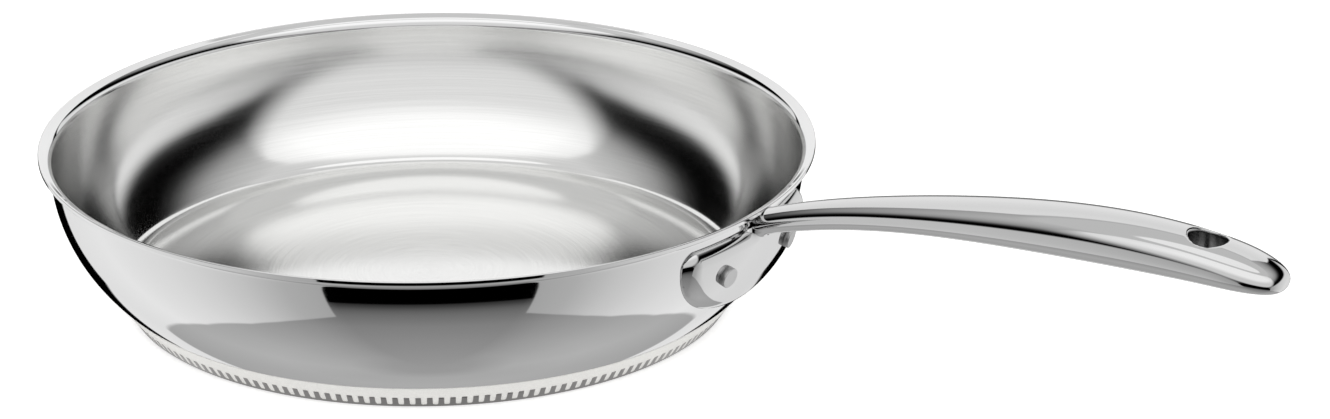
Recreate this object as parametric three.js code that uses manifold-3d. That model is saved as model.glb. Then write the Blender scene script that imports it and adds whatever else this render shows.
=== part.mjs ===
// Stainless steel frying pan with a bonded sandwich base and a riveted cast handle.
// Millimetres, +Z up. The origin is the middle of the base's underside, and the handle lies along +X.
import * as THREE from 'three';
import { mergeGeometries, mergeVertices } from 'three/addons/utils/BufferGeometryUtils.js';
import Module from 'manifold-3d';

const wasm = await Module();
wasm.setup();

// Pan body, one drawn sheet with a pouring lip
const RIM_RADIUS = 142;
const RIM_HEIGHT = 59.4;
const SHEET = 1;
const FLOOR_HEIGHT = 7;
const FLOOR_PAST_BASE = 1.6;
const LIP_REACH = 3.7;
const LIP_RISE = 3.9;
const LIP_SLOPE = THREE.MathUtils.degToRad(27);
const FOOT_SLOPE = THREE.MathUtils.degToRad(38.5);
const WALL_LEAN = THREE.MathUtils.degToRad(1.2);
const FOOT_PULL = 0.28;
const WALL_PULL = 0.5;
const FOOT_OVERHANG = 1.4;
const FOOT_RISE = 0.7;

// Sandwich base: an aluminium core in a steel plate whose edge is cut into teeth
const BASE_RADIUS = 110.7;
const BASE_TOP_RADIUS = 116.3;
const BASE_TOP_HEIGHT = 8.5;
const PLATE_THICKNESS = 1;
const TOOTH_THICKNESS = 0.7;
const TOOTH_TOP = 4.5;
const TOOTH_PITCH = 3.952;
const SLOT_WIDTH = 2;
const SLOT_BOTTOM = 1.4;

// Handle: a flange on the wall and a stem that swells into the grip
const FLANGE_WIDTH = 83.2;
const FLANGE_HEIGHT = 31.2;
const FLANGE_BELOW_RIM = 6.4;
const FLANGE_THICKNESS = 3.4;
const FLANGE_CORNER = 4.5;
const HANDLE_REACH = 197.3;
const ROOT_STANDOFF = 4;
const ROOT_BELOW_RIM = 3.8;
const HANDLE_RISE = 18.9;
const STEM_WIDTH = 14.2;
const STEM_THICKNESS = 9.6;
const GRIP_WIDTH = 28.2;
const GRIP_THICKNESS = 18;
const TIP_PLAN_LENGTH = 25.5;
const TIP_PLAN_POWER = 2.6;
const TIP_SIDE_LENGTH = 39.6;
const TIP_SIDE_POWER = 2.2;
const ROOT_FILLET = 7;
const ROOT_UNDER_FILLET = 4;
const HANG_HOLE = 14;
const HANG_HOLE_FROM_TIP = 29.2;

// Where along the handle its height, width and thickness are set, as shares of its length and swell
const RISE_STATIONS = [[0, 0], [0.2, 0.51], [0.41, 0.835], [0.61, 0.985], [0.82, 1], [1, 0.78]];
const WIDTH_STATIONS = [[0, 0], [0.23, 0.355], [0.46, 0.745], [0.69, 1], [0.87, 0.78], [1, 0.74]];
const THICKNESS_STATIONS = [[0, 0], [0.23, 0.26], [0.46, 0.715], [0.69, 1], [0.87, 0.83], [1, 0.8]];

// Rivets through the wall and the flange
const RIVET_SPACING = 42.7;
const RIVET_BELOW_FLANGE_TOP = 12;
const RIVET_SHANK = 6;
const RIVET_HEAD = 12;
const RIVET_HEAD_HEIGHT = 1.8;
const RIVET_HEAD_EDGE = 0.5;
const RIVET_TAIL = 7.5;
const RIVET_TAIL_HEIGHT = 2.1;
const RIVET_TAIL_BEVEL = 0.3;

// Gaps between pieces that fit together
const BOND_GAP = 0.25;
const FLANGE_GAP = 0.3;
const HOLE_GAP = 0.25;
const HEAD_GAP = 0.35;

// How finely the round shapes are cut
const BODY_SIDES = 64;
const WALL_STEPS = 8;
const LIP_STEPS = 3;
const SECTION_SIDES = 24;
const FILLET_STEPS = 5;
const OUTLINE_STEPS = 7;
const HANDLE_STEPS = 18;
const TIP_STEPS = 9;
const ROUND_SIDES = 20;
const HEAD_STEPS = 3;
const MERGE_DISTANCE = 1e-5;
const CUT_MARGIN = 1;

const UP = new THREE.Vector3(0, 0, 1);
const point = (radius, height) => new THREE.Vector2(radius, height);

// Materials
const polishedSteel = new THREE.MeshStandardMaterial({ color: 0xd2d3d1, roughness: 0.08, metalness: 1 });
const castSteel = new THREE.MeshStandardMaterial({ color: 0xcfcfcd, roughness: 0.1, metalness: 1 });
const plateSteel = new THREE.MeshStandardMaterial({ color: 0x9a9a98, roughness: 0.3, metalness: 1 });
const aluminium = new THREE.MeshStandardMaterial({ color: 0xdedcd4, roughness: 0.4, metalness: 1 });
const rivetSteel = new THREE.MeshStandardMaterial({ color: 0xc4c4c2, roughness: 0.25, metalness: 1 });

// A closed geometry with shared corners becomes a solid that can be joined or cut
function solidOf(geometry) {
  const bare = geometry.clone();
  bare.deleteAttribute('normal');
  bare.deleteAttribute('uv');
  const merged = mergeVertices(bare, MERGE_DISTANCE);
  const index = merged.index.array;
  const triVerts = [];
  for (let i = 0; i < index.length; i += 3) {
    const corners = index.slice(i, i + 3);
    if (new Set(corners).size === 3) triVerts.push(...corners);
  }
  const vertProperties = Float32Array.from(merged.attributes.position.array);
  return new wasm.Manifold(new wasm.Mesh({ numProp: 3, vertProperties, triVerts: Uint32Array.from(triVerts) }));
}

function geometryOf(solid) {
  const { vertProperties, triVerts } = solid.getMesh();
  const geometry = new THREE.BufferGeometry();
  geometry.setAttribute('position', new THREE.BufferAttribute(vertProperties, 3));
  geometry.setIndex(new THREE.BufferAttribute(triVerts, 1));
  geometry.computeVertexNormals();
  return geometry;
}

function pieceOf(name, solid, material) {
  const mesh = new THREE.Mesh(geometryOf(solid), material);
  mesh.name = name;
  return mesh;
}

// A profile of radius and height turned round the Z axis, from the axis and back to it
function turned(profile, sides) {
  return new THREE.LatheGeometry(profile, sides).rotateX(Math.PI / 2);
}

// A profile moved sideways by a distance, to the inside of the pan where it is positive
function offset(profile, distance) {
  const last = profile.length - 1;
  return profile.map((here, i) => {
    const before = here.clone().sub(profile[Math.max(i - 1, 0)]).normalize();
    const after = profile[Math.min(i + 1, last)].clone().sub(here).normalize();
    const along = before.add(after).normalize();
    const ahead = i < last ? profile[i + 1].clone().sub(here) : here.clone().sub(profile[i - 1]);
    const spread = along.dot(ahead.normalize());
    return point(here.x - along.y * distance / spread, here.y + along.x * distance / spread);
  });
}

// Outside of the wall, from the foot's corner up to where the lip bends out
const floorRadius = BASE_RADIUS + FLOOR_PAST_BASE;
const wallFoot = point(floorRadius + FOOT_OVERHANG, FLOOR_HEIGHT - SHEET + FOOT_RISE);
const wallTop = point(RIM_RADIUS - LIP_REACH, RIM_HEIGHT - LIP_RISE);
const wallHeight = wallTop.y - wallFoot.y;
const footPull = point(Math.cos(FOOT_SLOPE), Math.sin(FOOT_SLOPE)).multiplyScalar(FOOT_PULL * wallHeight);
const topPull = point(Math.sin(WALL_LEAN), Math.cos(WALL_LEAN)).multiplyScalar(WALL_PULL * wallHeight);
const wall = new THREE.CubicBezierCurve(
  wallFoot, wallFoot.clone().add(footPull), wallTop.clone().sub(topPull), wallTop);

// The lip's underside ends below the rim by the sheet's own slanted thickness
const lipEdge = point(RIM_RADIUS, RIM_HEIGHT - SHEET * Math.cos(LIP_SLOPE));
const lipBend = point(wallTop.x, lipEdge.y - (lipEdge.x - wallTop.x) * Math.tan(LIP_SLOPE));
const lip = new THREE.QuadraticBezierCurve(wallTop, lipBend, lipEdge);
const outside = [
  point(0, FLOOR_HEIGHT - SHEET),
  point(floorRadius, FLOOR_HEIGHT - SHEET),
  ...wall.getPoints(WALL_STEPS),
  ...lip.getPoints(LIP_STEPS).slice(1),
];
const inside = offset(outside, SHEET);

// Everything that the pan body takes up, and the space over it, with a gap all round
function panEnvelope(gap) {
  const skin = offset(outside, -gap);
  const edge = RIM_RADIUS + gap;
  const above = RIM_HEIGHT + HANDLE_RISE + GRIP_THICKNESS;
  const profile = [...skin, point(edge, lipEdge.y), point(edge, above), point(0, above)];
  return solidOf(turned(profile, BODY_SIDES));
}

// The wall's place and slope at a height
function wallAt(height) {
  let low = 0;
  let high = 1;
  while (high - low > MERGE_DISTANCE) {
    const middle = (low + high) / 2;
    if (wall.getPoint(middle).y < height) low = middle;
    else high = middle;
  }
  const along = wall.getTangent(low);
  return { radius: wall.getPoint(low).x, slope: Math.atan2(along.x, along.y) };
}

// Rivets: each stands square to the wall
const flangeTop = RIM_HEIGHT - FLANGE_BELOW_RIM;
const rivetHeight = flangeTop - RIVET_BELOW_FLANGE_TOP;
const rivetSeat = wallAt(rivetHeight);
const rivetAngle = Math.asin(RIVET_SPACING / 2 / rivetSeat.radius);

function placeRivet(object, side) {
  const angle = side * rivetAngle;
  const axis = new THREE.Vector3(Math.cos(angle), Math.sin(angle), -Math.tan(rivetSeat.slope)).normalize();
  object.quaternion.setFromUnitVectors(new THREE.Vector3(0, 1, 0), axis);
  object.position.set(
    rivetSeat.radius * Math.cos(angle), rivetSeat.radius * Math.sin(angle), rivetHeight);
  object.updateMatrix();
  return object;
}

// How far the hollow wall rises towards the pan's middle at the edge of a rivet's head
function wallRise() {
  const reach = RIVET_HEAD / 2;
  const round = reach ** 2 / (2 * rivetSeat.radius);
  const upright = [-reach, reach].map((step) => {
    const straight = rivetSeat.radius + Math.tan(rivetSeat.slope) * step;
    return (straight - wallAt(rivetHeight + step).radius) * Math.cos(rivetSeat.slope);
  });
  return round + Math.max(...upright);
}

// The head is flat underneath, so it stands clear of the hollow wall by that rise
function rivetProfile() {
  const headSeat = -SHEET - wallRise() - HEAD_GAP;
  const tailSeat = FLANGE_GAP + FLANGE_THICKNESS + BOND_GAP;
  const tailEnd = tailSeat + RIVET_TAIL_HEIGHT;
  const dome = new THREE.EllipseCurve(
    0, headSeat - RIVET_HEAD_EDGE, RIVET_HEAD / 2, RIVET_HEAD_HEIGHT - RIVET_HEAD_EDGE, -Math.PI / 2, 0);
  const head = dome.getPoints(HEAD_STEPS).slice(1);
  return [
    point(0, headSeat - RIVET_HEAD_HEIGHT),
    ...head,
    point(RIVET_HEAD / 2, headSeat),
    point(RIVET_SHANK / 2, headSeat),
    point(RIVET_SHANK / 2, tailSeat),
    point(RIVET_TAIL / 2, tailSeat),
    point(RIVET_TAIL / 2, tailEnd - RIVET_TAIL_BEVEL),
    point(RIVET_TAIL / 2 - RIVET_TAIL_BEVEL, tailEnd),
    point(0, tailEnd),
  ];
}

function rivet(name, side) {
  const profile = new THREE.LatheGeometry(rivetProfile(), ROUND_SIDES);
  return placeRivet(pieceOf(name, solidOf(profile), rivetSteel), side);
}

function rivetHole(side) {
  const depth = 2 * (SHEET + FLANGE_GAP + FLANGE_THICKNESS + CUT_MARGIN);
  const radius = RIVET_SHANK / 2 + HOLE_GAP;
  const drill = new THREE.CylinderGeometry(radius, radius, depth, ROUND_SIDES);
  return solidOf(drill.applyMatrix4(placeRivet(new THREE.Object3D(), side).matrix));
}

const rivetHoles = rivetHole(-1).add(rivetHole(1));

// Pan body
function panBody() {
  const sheet = solidOf(turned([...outside, ...inside.toReversed()], BODY_SIDES));
  return pieceOf('pan_body', sheet.subtract(rivetHoles), polishedSteel);
}

// Base: the plate's edge leans out with the side of the base, and slots leave the teeth
const baseLean = (BASE_TOP_RADIUS - BASE_RADIUS) / BASE_TOP_HEIGHT;
const baseSide = (height) => BASE_RADIUS + baseLean * height;
const teeth = Math.round(2 * Math.PI * BASE_RADIUS / TOOTH_PITCH);

function toothSlots() {
  const half = SLOT_WIDTH / 2;
  const outline = new THREE.Shape([
    point(-half, SLOT_BOTTOM),
    point(half, SLOT_BOTTOM),
    point(half, TOOTH_TOP + CUT_MARGIN),
    point(-half, TOOTH_TOP + CUT_MARGIN),
  ]);
  const start = Math.min(baseSide(0), baseSide(TOOTH_TOP)) - TOOTH_THICKNESS - CUT_MARGIN;
  const depth = Math.max(baseSide(0), baseSide(TOOTH_TOP)) + CUT_MARGIN - start;
  const slots = [];
  for (let i = 0; i < teeth; i += 1) {
    const angle = (i + 0.5) * 2 * Math.PI / teeth - Math.PI / 2;
    const outward = new THREE.Vector3(Math.cos(angle), Math.sin(angle), 0);
    const place = new THREE.Matrix4().makeBasis(UP.clone().cross(outward), UP, outward);
    place.setPosition(outward.multiplyScalar(start));
    const slot = new THREE.ExtrudeGeometry(outline, { depth, bevelEnabled: false, steps: 1 });
    slots.push(slot.applyMatrix4(place));
  }
  return solidOf(mergeGeometries(slots));
}

function basePlate() {
  const cup = [
    point(0, 0),
    point(BASE_RADIUS, 0),
    point(baseSide(TOOTH_TOP), TOOTH_TOP),
    point(baseSide(TOOTH_TOP) - TOOTH_THICKNESS, TOOTH_TOP),
    point(baseSide(PLATE_THICKNESS) - TOOTH_THICKNESS, PLATE_THICKNESS),
    point(0, PLATE_THICKNESS),
  ];
  return pieceOf('base_plate', solidOf(turned(cup, teeth)).subtract(toothSlots()), plateSteel);
}

function baseCore() {
  const rebate = TOOTH_THICKNESS + BOND_GAP;
  const ledge = TOOTH_TOP + BOND_GAP;
  const disc = [
    point(0, PLATE_THICKNESS),
    point(baseSide(PLATE_THICKNESS) - rebate, PLATE_THICKNESS),
    point(baseSide(ledge) - rebate, ledge),
    point(baseSide(ledge), ledge),
    point(BASE_TOP_RADIUS, BASE_TOP_HEIGHT),
    point(0, BASE_TOP_HEIGHT),
  ];
  const core = solidOf(turned(disc, BODY_SIDES)).subtract(panEnvelope(BOND_GAP));
  return pieceOf('base_core', core, aluminium);
}

// Handle: rings of equal count joined into one closed skin
function lofted(rings) {
  const count = rings[0].length;
  const corners = rings.flat();
  const index = [];
  for (let r = 0; r + 1 < rings.length; r += 1) {
    for (let i = 0; i < count; i += 1) {
      const a = r * count + i;
      const b = r * count + (i + 1) % count;
      index.push(a, b, b + count, a, b + count, a + count);
    }
  }
  const ends = [[0, 1], [(rings.length - 1) * count, 0]];
  for (const [first, turn] of ends) {
    const ring = corners.slice(first, first + count);
    const middle = ring.reduce((sum, p) => sum.add(p), new THREE.Vector3()).divideScalar(count);
    for (let i = 0; i < count; i += 1) {
      const edge = [first + i, first + (i + 1) % count];
      index.push(edge[turn], edge[1 - turn], corners.length);
    }
    corners.push(middle);
  }
  const geometry = new THREE.BufferGeometry().setFromPoints(corners);
  geometry.setIndex(index);
  return geometry;
}

const rootX = RIM_RADIUS + ROOT_STANDOFF;
const tipX = RIM_RADIUS + HANDLE_REACH;
const rootZ = RIM_HEIGHT - ROOT_BELOW_RIM;

// A smooth curve through stations of share and value, read at a share of the handle's length
function stationCurve(stations) {
  const curve = new THREE.SplineCurve(stations.map(([share, value]) => point(share, value)));
  const samples = curve.getPoints(HANDLE_STEPS * HANDLE_STEPS);
  return (share) => {
    const next = samples.findIndex((sample) => sample.x >= share);
    if (next <= 0) return samples[next === 0 ? 0 : samples.length - 1].y;
    const [a, b] = [samples[next - 1], samples[next]];
    return THREE.MathUtils.mapLinear(share, a.x, b.x, a.y, b.y);
  };
}

const rise = stationCurve(RISE_STATIONS);
const widthSwell = stationCurve(WIDTH_STATIONS);
const thicknessSwell = stationCurve(THICKNESS_STATIONS);

// How far the end has rounded off at a place, 1 before the rounding and 0 at the tip
function endRound(x, length, power) {
  const share = THREE.MathUtils.clamp((x - tipX + length) / length, 0, 1);
  return (1 - share ** power) ** (1 / power);
}

// Middle height, half width and half thickness of the handle at a place along it
function handleSection(x) {
  const share = THREE.MathUtils.clamp((x - rootX) / (tipX - rootX), 0, 1);
  const width = THREE.MathUtils.lerp(STEM_WIDTH, GRIP_WIDTH, widthSwell(share));
  const thickness = THREE.MathUtils.lerp(STEM_THICKNESS, GRIP_THICKNESS, thicknessSwell(share));
  return {
    middle: rootZ + HANDLE_RISE * rise(share),
    halfWidth: width / 2 * endRound(x, TIP_PLAN_LENGTH, TIP_PLAN_POWER),
    halfThickness: thickness / 2 * endRound(x, TIP_SIDE_LENGTH, TIP_SIDE_POWER),
  };
}

// An oval section standing across the handle
function sectionRing(x, { middle, halfWidth, halfThickness }) {
  const ring = [];
  for (let i = 0; i < SECTION_SIDES; i += 1) {
    const angle = 2 * Math.PI * i / SECTION_SIDES;
    ring.push(new THREE.Vector3(
      x, halfWidth * Math.cos(angle), middle + halfThickness * Math.sin(angle)));
  }
  return ring;
}

const flangeFace = wallAt(flangeTop).radius + FLANGE_GAP + FLANGE_THICKNESS;

// The root spreads sideways and down onto the flange in a hollow curve
function rootSection(distance) {
  const section = handleSection(rootX);
  const hollow = Math.max(0, 1 - distance / ROOT_FILLET);
  const spread = 1 - Math.sqrt(1 - hollow ** 2);
  section.halfWidth += ROOT_FILLET * spread;
  section.halfThickness += ROOT_UNDER_FILLET / 2 * spread;
  section.middle -= ROOT_UNDER_FILLET / 2 * spread;
  return section;
}

function stem() {
  const buriedX = flangeFace - FLANGE_THICKNESS;
  const rings = [sectionRing(buriedX, rootSection(0))];
  for (let i = 0; i < FILLET_STEPS; i += 1) {
    const distance = (rootX - flangeFace) * i / FILLET_STEPS;
    rings.push(sectionRing(flangeFace + distance, rootSection(distance)));
  }
  const tipStart = tipX - TIP_SIDE_LENGTH;
  for (let i = 0; i < HANDLE_STEPS; i += 1) {
    const x = THREE.MathUtils.lerp(rootX, tipStart, i / HANDLE_STEPS);
    rings.push(sectionRing(x, handleSection(x)));
  }
  for (let i = 0; i < TIP_STEPS; i += 1) {
    const x = tipStart + TIP_SIDE_LENGTH * Math.sin(Math.PI / 2 * i / TIP_STEPS);
    rings.push(sectionRing(x, handleSection(x)));
  }
  return solidOf(lofted(rings));
}

// The flange's top edge is straight with round corners, and its lower edge is half an ellipse
function flange() {
  const half = FLANGE_WIDTH / 2;
  const shoulder = flangeTop - FLANGE_CORNER;
  const outline = new THREE.Shape();
  outline.absarc(half - FLANGE_CORNER, shoulder, FLANGE_CORNER, 0, Math.PI / 2);
  outline.absarc(FLANGE_CORNER - half, shoulder, FLANGE_CORNER, Math.PI / 2, Math.PI);
  outline.absellipse(0, shoulder, half, FLANGE_HEIGHT - FLANGE_CORNER, Math.PI, 2 * Math.PI);
  const depth = RIM_RADIUS + FLANGE_THICKNESS + CUT_MARGIN;
  const block = new THREE.ExtrudeGeometry(outline, { depth, bevelEnabled: false, curveSegments: OUTLINE_STEPS });
  const alongX = new THREE.Matrix4().makeBasis(
    new THREE.Vector3(0, 1, 0), UP, new THREE.Vector3(1, 0, 0));
  const skin = offset(outside, -(FLANGE_GAP + FLANGE_THICKNESS));
  const face = [...skin, point(0, skin.at(-1).y)];
  return solidOf(block.applyMatrix4(alongX)).intersect(solidOf(turned(face, BODY_SIDES)));
}

function hangHole() {
  const radius = HANG_HOLE / 2;
  const drill = new THREE.CylinderGeometry(radius, radius, 4 * GRIP_THICKNESS, ROUND_SIDES);
  drill.rotateX(Math.PI / 2);
  return solidOf(drill.translate(tipX - HANG_HOLE_FROM_TIP, 0, rootZ + HANDLE_RISE));
}

function handle() {
  const casting = flange().add(stem()).subtract(panEnvelope(FLANGE_GAP));
  return pieceOf('handle', casting.subtract(hangHole()).subtract(rivetHoles), castSteel);
}

const pan = new THREE.Group();
pan.add(panBody(), baseCore(), basePlate(), handle(), rivet('rivet_front', -1), rivet('rivet_rear', 1));

export default pan;
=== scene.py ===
"""Looks of a stainless steel frying pan: polished body and handle, brushed inside, toothed sandwich base."""
import math

import bpy
import numpy as np
from bpy.props import FloatProperty, FloatVectorProperty, PointerProperty
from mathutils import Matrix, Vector


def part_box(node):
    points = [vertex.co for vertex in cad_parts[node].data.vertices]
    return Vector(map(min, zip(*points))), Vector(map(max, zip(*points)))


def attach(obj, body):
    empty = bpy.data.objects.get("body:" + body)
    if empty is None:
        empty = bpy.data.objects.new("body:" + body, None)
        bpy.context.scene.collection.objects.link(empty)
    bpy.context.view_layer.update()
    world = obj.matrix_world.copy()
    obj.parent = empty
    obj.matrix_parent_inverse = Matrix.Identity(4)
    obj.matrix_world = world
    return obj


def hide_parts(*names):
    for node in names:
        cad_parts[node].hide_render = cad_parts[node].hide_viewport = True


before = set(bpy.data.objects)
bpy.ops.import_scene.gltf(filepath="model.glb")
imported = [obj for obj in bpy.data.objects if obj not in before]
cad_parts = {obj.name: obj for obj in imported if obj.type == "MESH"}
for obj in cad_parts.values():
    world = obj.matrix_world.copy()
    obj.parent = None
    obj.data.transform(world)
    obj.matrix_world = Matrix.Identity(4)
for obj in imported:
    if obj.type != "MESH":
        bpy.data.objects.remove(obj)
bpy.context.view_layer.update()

bl_info = {
    "name": "Frying Pan",
    "version": (1, 0, 0),
    "blender": (4, 5, 0),
    "location": "3D View > Sidebar > Frying Pan",
    "description": "Builds a polished steel frying pan with a toothed base and a riveted cast handle",
    "category": "Object",
}

MM = 0.001
BODY_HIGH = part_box("pan_body")[1]
PLATE_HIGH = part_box("base_plate")[1]
CORE_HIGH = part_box("base_core")[1]
HANDLE_LOW, HANDLE_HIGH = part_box("handle")

# How finely the shapes are cut
BODY_SIDES = 360
WALL_STEPS = 56
LIP_STEPS = 14
FILLET_STEPS = 6
FLOOR_RINGS = 24
UNDERSIDE_RINGS = 8
RIVET_SIDES = 64
DOME_STEPS = 16
TOOTH_COLUMNS = 6
TOOTH_RINGS = 6
STAGE_SIDES = 96
CASTING_STEP = 0.7 * MM
CASTING_MARGIN = 3 * MM

# How often the net over the casting is filled, settled, evened out, and drawn to the border of its seat
FILL_ROUNDS = 4
FIRST_ROUNDS = 4
EVENING_ROUNDS = 6
SETTLE_ROUNDS = 3
BORDER_ROUNDS = 8

# Measuring the casting's fields: how much finer the wall is cut there and for the rivets' axes, the step over
# which a slope is taken, the least slope that counts, and a number too small to matter
FIELD_FINENESS = 40
AXIS_FINENESS = 4
SLOPE_STEP = 0.02 * MM
LEAST_SLOPE = 0.1
TINY = 1e-9

# Shares of the wall's height over which it keeps the slope of its foot and of its top
FOOT_PULL = 0.28
WALL_PULL = 0.5

# How square the grip's end and the flange's rolled edge are, and how much narrower the roll is at the bottom
TIP_POWER = 3
ROLL_POWER = 1.6
LOW_ROLL_LOSS = 0.55

# Support points beside a rounded corner: how far off in reaches of the round, and at most in shares of a side
SUPPORT_REACH = 1.4
SUPPORT_LIMIT = 0.49

# Room round a rivet in its hole, and between the floor and the base
HOLE_ROOM = 0.1 * MM
FLOOR_DROP = 0.2 * MM

# Where along the handle its middle height, half width and half thickness are set: pairs of a share of its
# length, and a share of its rise or a size in millimetres
RISE_STATIONS = [(0, 0), (0.2, 0.51), (0.41, 0.835), (0.615, 0.985), (0.82, 1), (0.98, 0.82)]
HALF_WIDTH_STATIONS = [(0, 7.1), (0.23, 9.6), (0.46, 12.3), (0.69, 14), (0.87, 12.9), (1, 11.9)]
HALF_THICKNESS_STATIONS = [(0, 4.8), (0.23, 5.9), (0.46, 7.8), (0.69, 9), (0.85, 8), (0.925, 7), (1, 5.5)]

# The studio as the pan sees it, set from what the steel mirrors: pairs of an angle in degrees and a
# value, where turn is measured away from the middle of the studio and height from the horizon

# Floor: light by height ahead and aside, and by turn the share of the second
FLOOR_AHEAD = [(-90, 0.38), (-63, 0.305), (-51, 0.26), (-42, 0.18), (-39, 0.135), (-36, 0.06), (-34.3, 0.03)]
FLOOR_ASIDE = [(-90, 0.38), (-84, 0.395), (-77, 0.5), (-66, 0.53), (-54, 0.5), (-46, 0.47)]
FLOOR_ASIDE_SHARE = [(30, 0), (45, 0.3), (60, 0.5), (90, 0.83), (120, 1), (150, 0.8)]

# Walls: light by turn, its factor by height, their foot and top by turn, and how they fade below the top
WALLS = [(33, 0.39), (45, 0.44), (60, 0.58), (75, 0.68), (90, 0.75), (120, 0.84), (147, 0.76)]
WALLS_SHARE = [(-8, 1.12), (14, 1.06)]
WALLS_DROP = [(33, 44), (45, 47), (60, 50), (75, 52), (105, 52), (120, 50), (135, 47), (147, 44)]
WALLS_TOP = [(30, 9), (45, 21), (60, 28), (75, 30.6), (90, 30.2), (105, 29), (120, 28.5), (141, 28)]
WALLS_FADE = [(-14.5, 1), (-12.2, 0.75), (-9.8, 0.22), (-8, 0)]

# Ceiling over the dark gap: the gap's height by turn, the light above the gap, and its share by turn
GAP_HEIGHT = [(30, 5), (45, 17.5), (60, 24), (75, 28.5), (90, 29.5), (105, 29), (120, 28.5), (141, 28)]
CEILING = [(2.5, 0), (6, 0.02), (9, 0.1), (14.5, 0.35), (20.5, 0.51), (26, 0.6), (32, 0.63)]
CEILING_SHARE = [(110, 1), (140, 0.8)]

# Panel ahead: light by height, its share by turn, and by height the turn of its edge and how soft that is
FRONT_PANEL = [(1, 0), (5, 0.57), (8, 0.7), (13, 0.79), (35, 0.8), (41, 0.9), (47, 1.05), (53, 1.15)]
FRONT_PANEL_SHARE = [(60, 1), (90, 0.8)]
FRONT_PANEL_TURN = [(1, 33), (6, 33), (53, 82)]
FRONT_PANEL_SOFT = [(-15, 0.5), (0, 20), (6, 28), (20, 16), (40, 14), (54, 2)]

# Panel behind: light by height, and by height the turn of its edge and of the dark round it
BACK_PANEL = [
    (-20, 0), (-14, 0.18), (2, 0.22), (5, 0.95), (18, 1), (32, 0.95), (42, 0.92), (54, 0.97),
    (55.5, 0.56), (72, 0.6),
]
BACK_PANEL_TURN = [(-33, 165), (20, 150.5), (35, 141)]
BACK_TURN = [(20, 150), (35, 142)]

# Heights where the black card ahead and the dark behind start
CARD_FOOT, BACK_FOOT = -34.1, -33.5

# The beam and the panel overhead, in shares of their height over the pan
BEAM_LIGHT, TOP_PANEL_LIGHT = 0.68, 1.1
BEAM_BOW, BEAM_AHEAD = -0.4, 0.215
TOP_PANEL_BACK, TOP_PANEL_LENGTH, TOP_PANEL_REACH = 0.045, 0.42, 0.4
OVERHEAD_FOOT, OVERHEAD_SOFT = 57.0, 2.0

# Widths over which the edges in the studio blur
WALL_FOOT_SOFT, CARD_SOFT, BACK_SOFT = 0.8, 0.5, 1.0
BEAM_SOFT, TOP_PANEL_SOFT = 0.02, 0.03


def linear(hex_colour):
    """Linear red, green and blue of an sRGB hex colour."""
    parts = [int(hex_colour[i:i + 2], 16) / 255 for i in (1, 3, 5)]
    return tuple(c / 12.92 if c <= 0.04045 else ((c + 0.055) / 1.055) ** 2.4 for c in parts)


def length(name, description, default):
    """A size property in metres."""
    return FloatProperty(name=name, description=description, default=default, unit="LENGTH", precision=4)


def angle(name, description, degrees):
    """An angle property."""
    return FloatProperty(name=name, description=description, default=math.radians(degrees), unit="ROTATION")


def colour(name, description, hex_colour):
    """A colour property."""
    return FloatVectorProperty(
        name=name, description=description, default=linear(hex_colour), subtype="COLOR", size=3, min=0, max=1)


class PanBodySizes(bpy.types.PropertyGroup):
    """Sizes of the drawn steel body."""
    rim_radius: length("Rim radius", "Radius over the pouring lip", BODY_HIGH.y)
    rim_height: length("Rim height", "Top of the lip above the table", BODY_HIGH.z)
    sheet: length("Sheet", "Thickness of the steel sheet", 1 * MM)
    floor_height: length("Floor height", "Cooking floor above the table", 7 * MM)
    floor_radius: length("Floor radius", "Flat part of the cooking floor", 112.3 * MM)
    lip_reach: length("Lip reach", "How far the lip leans out past the wall", 4 * MM)
    lip_rise: length("Lip rise", "Height of the lip", 4.6 * MM)
    lip_edge: length("Lip edge", "Thickness of the lip at its cut edge", 1.6 * MM)
    edge_round: length("Edge round", "Round of the corners of the lip's cut edge", 0.35 * MM)
    lip_slope: angle("Lip slope", "Slope of the lip's underside", 13)
    foot_slope: angle("Foot slope", "Slope of the wall where it leaves the floor", 38.5)
    wall_lean: angle("Wall lean", "Lean of the wall under the lip", 1.2)
    foot_overhang: length("Foot overhang", "How far the foot's corner lies past the floor", 1.4 * MM)
    corner_rise: length("Corner rise", "Height of the round between floor and wall", 1.7 * MM)
    foot_rise: length("Foot rise", "How far the foot's corner lies above the floor", 0.7 * MM)


class BaseSizes(bpy.types.PropertyGroup):
    """Sizes of the sandwich base."""
    radius: length("Radius", "Underside of the base", 110.7 * MM)
    top_radius: length("Top radius", "Widest part of the base", CORE_HIGH.y + 0.6 * MM)
    top_height: length("Top height", "Height of the widest part", 9.3 * MM)
    tooth_top: length("Tooth top", "Height of the teeth above the table", PLATE_HIGH.z)
    tooth_pitch: length("Tooth pitch", "From one tooth to the next", 3.952 * MM)
    gap_width: length("Gap width", "Gap between two teeth", 1.95 * MM)
    gap_bottom: length("Gap bottom", "Height of the steel under a gap", 0.95 * MM)
    gap_round: length("Gap round", "Round of the corners in a gap", 0.7 * MM)
    tooth_proud: length("Tooth proud", "How far the teeth stand out of the aluminium", 0.08 * MM)


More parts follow.
